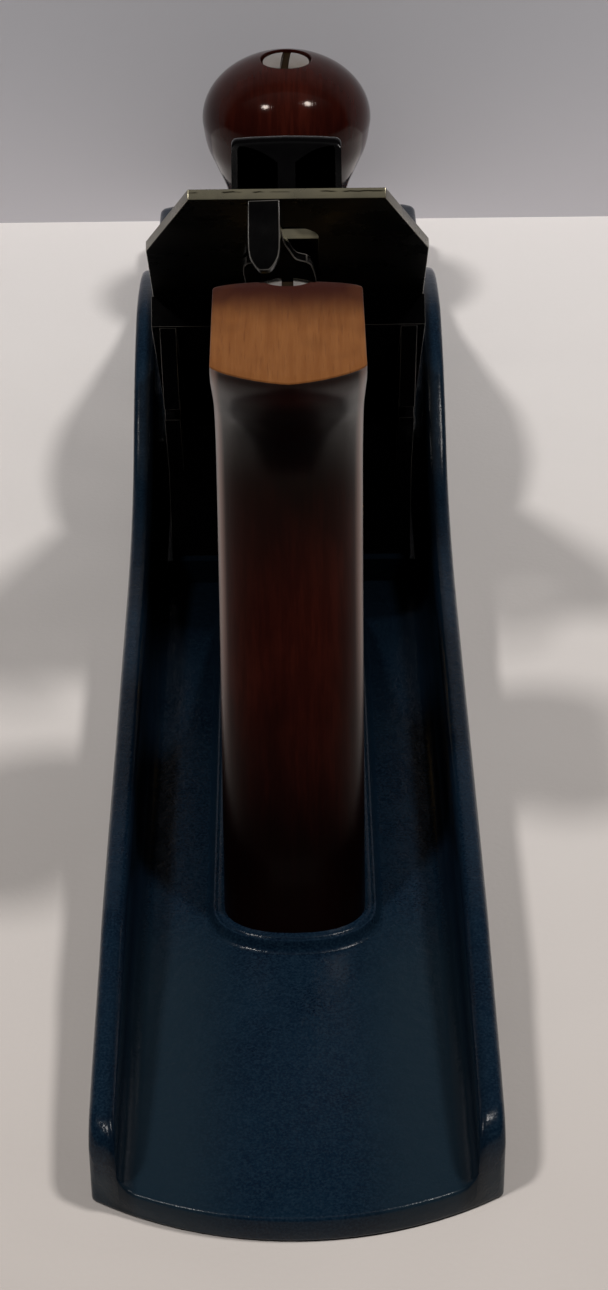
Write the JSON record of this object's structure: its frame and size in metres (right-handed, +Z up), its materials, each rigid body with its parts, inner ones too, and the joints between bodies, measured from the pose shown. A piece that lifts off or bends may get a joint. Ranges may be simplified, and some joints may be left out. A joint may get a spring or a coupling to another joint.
{
  "type": "jack plane",
  "caption": "Metal bench plane with a long open casting, bedded cutter, cam lever cap, depth wheel, side lever, wooden rear handle and round front knob.",
  "frame": {"origin": "on the sole, halfway along its length and width", "axes": "+X across the sole, +Y forward to the toe, +Z up"},
  "size_m": [0.0636, 0.3556, 0.1108],
  "materials": {
    "blue_enamel": "semi-gloss dark teal blue enamel on cast iron",
    "black_japan": "glossy black japanning",
    "bright_steel": "machined steel",
    "dark_steel": "aged polished steel, olive grey at the edges",
    "nickel_plate": "worn nickel plate",
    "wheel_brass": "turned and fluted brass",
    "lacquered_wood": "dark red brown lacquer, worn to raw wood on the rear handle's flat top"
  },
  "bodies": {
    "plane": {"sole_casting": "blue_enamel", "frog": "black_japan", "frog_screws": "bright_steel", "frog_washers": "bright_steel", "frog_adjusting_screw": "bright_steel", "frog_adjusting_clip": "bright_steel", "frog_clip_screw": "bright_steel", "depth_stud": "bright_steel", "yoke_pin": "bright_steel", "lateral_pivot_pin": "bright_steel", "lever_cap_screw": "nickel_plate", "lever_cap": "black_japan", "lever_cap_spring": "bright_steel", "spring_rivet": "bright_steel", "lever_pin": "bright_steel", "tote": "lacquered_wood", "tote_bolt": "bright_steel", "tote_nut": "nickel_plate", "tote_toe_screw": "nickel_plate", "knob": "lacquered_wood", "knob_bolt": "bright_steel", "knob_nut": "nickel_plate"},
    "depth_wheel": {"depth_wheel": "wheel_brass"},
    "depth_yoke": {"depth_yoke": "black_japan"},
    "lateral_lever": {"lateral_lever": "black_japan", "lateral_roller_pin": "bright_steel"},
    "lateral_roller": {"lateral_roller": "bright_steel"},
    "iron_clamp": {"cap_iron_screw": "bright_steel"},
    "iron_pair": {"plane_iron": "dark_steel", "cap_iron": "dark_steel"},
    "cap_lever": {"lever_cap_lever": "black_japan"}
  },
  "joints": [
    {"name": "cap_lever_hinge", "type": "hinge", "parent": "plane", "child": "cap_lever", "pos_m": [0, -0.0006, 0.08344], "axis": [-1, 0, 0], "range_deg": [0, 105]},
    {"name": "depth_wheel_turn", "type": "hinge", "parent": "plane", "child": "depth_wheel", "pos_m": [0, -0.00501, 0.03308], "axis": [0, 1, 0], "range_deg": [-360, 360]},
    {"name": "depth_yoke_rock", "type": "hinge", "parent": "plane", "child": "depth_yoke", "pos_m": [0, -0.00201, 0.04808], "axis": [-1, 0, 0], "range_deg": [-3.9, 3.9]},
    {"name": "iron_depth", "type": "slide", "parent": "plane", "child": "iron_clamp", "axis": [0, 0.7071, -0.7071], "range_m": [-0.00131, 0.00131]},
    {"name": "lateral_swing", "type": "hinge", "parent": "plane", "child": "lateral_lever", "pos_m": [0, -0.00201, 0.07071], "axis": [0, 0.7071, 0.7071], "range_deg": [-4, 4]},
    {"name": "roller_spin", "type": "hinge", "parent": "lateral_lever", "child": "lateral_roller", "pos_m": [0.00086, 0.00645, 0.06225], "axis": [0, 0.7071, 0.7071], "continuous": true},
    {"name": "iron_skew", "type": "hinge", "parent": "iron_clamp", "child": "iron_pair", "pos_m": [0, 0.03334, 0.03535], "axis": [0, 0.7071, 0.7071], "range_deg": [-1.3, 1.3]}
  ],
  "couplings": [
    {"joint": "depth_yoke_rock", "follows": "iron_depth", "rad_per_m": 50.505},
    {"joint": "depth_wheel_turn", "follows": "iron_depth", "rad_per_m": 4760},
    {"joint": "iron_skew", "follows": "lateral_swing", "ratio": -0.31579}
  ]
}
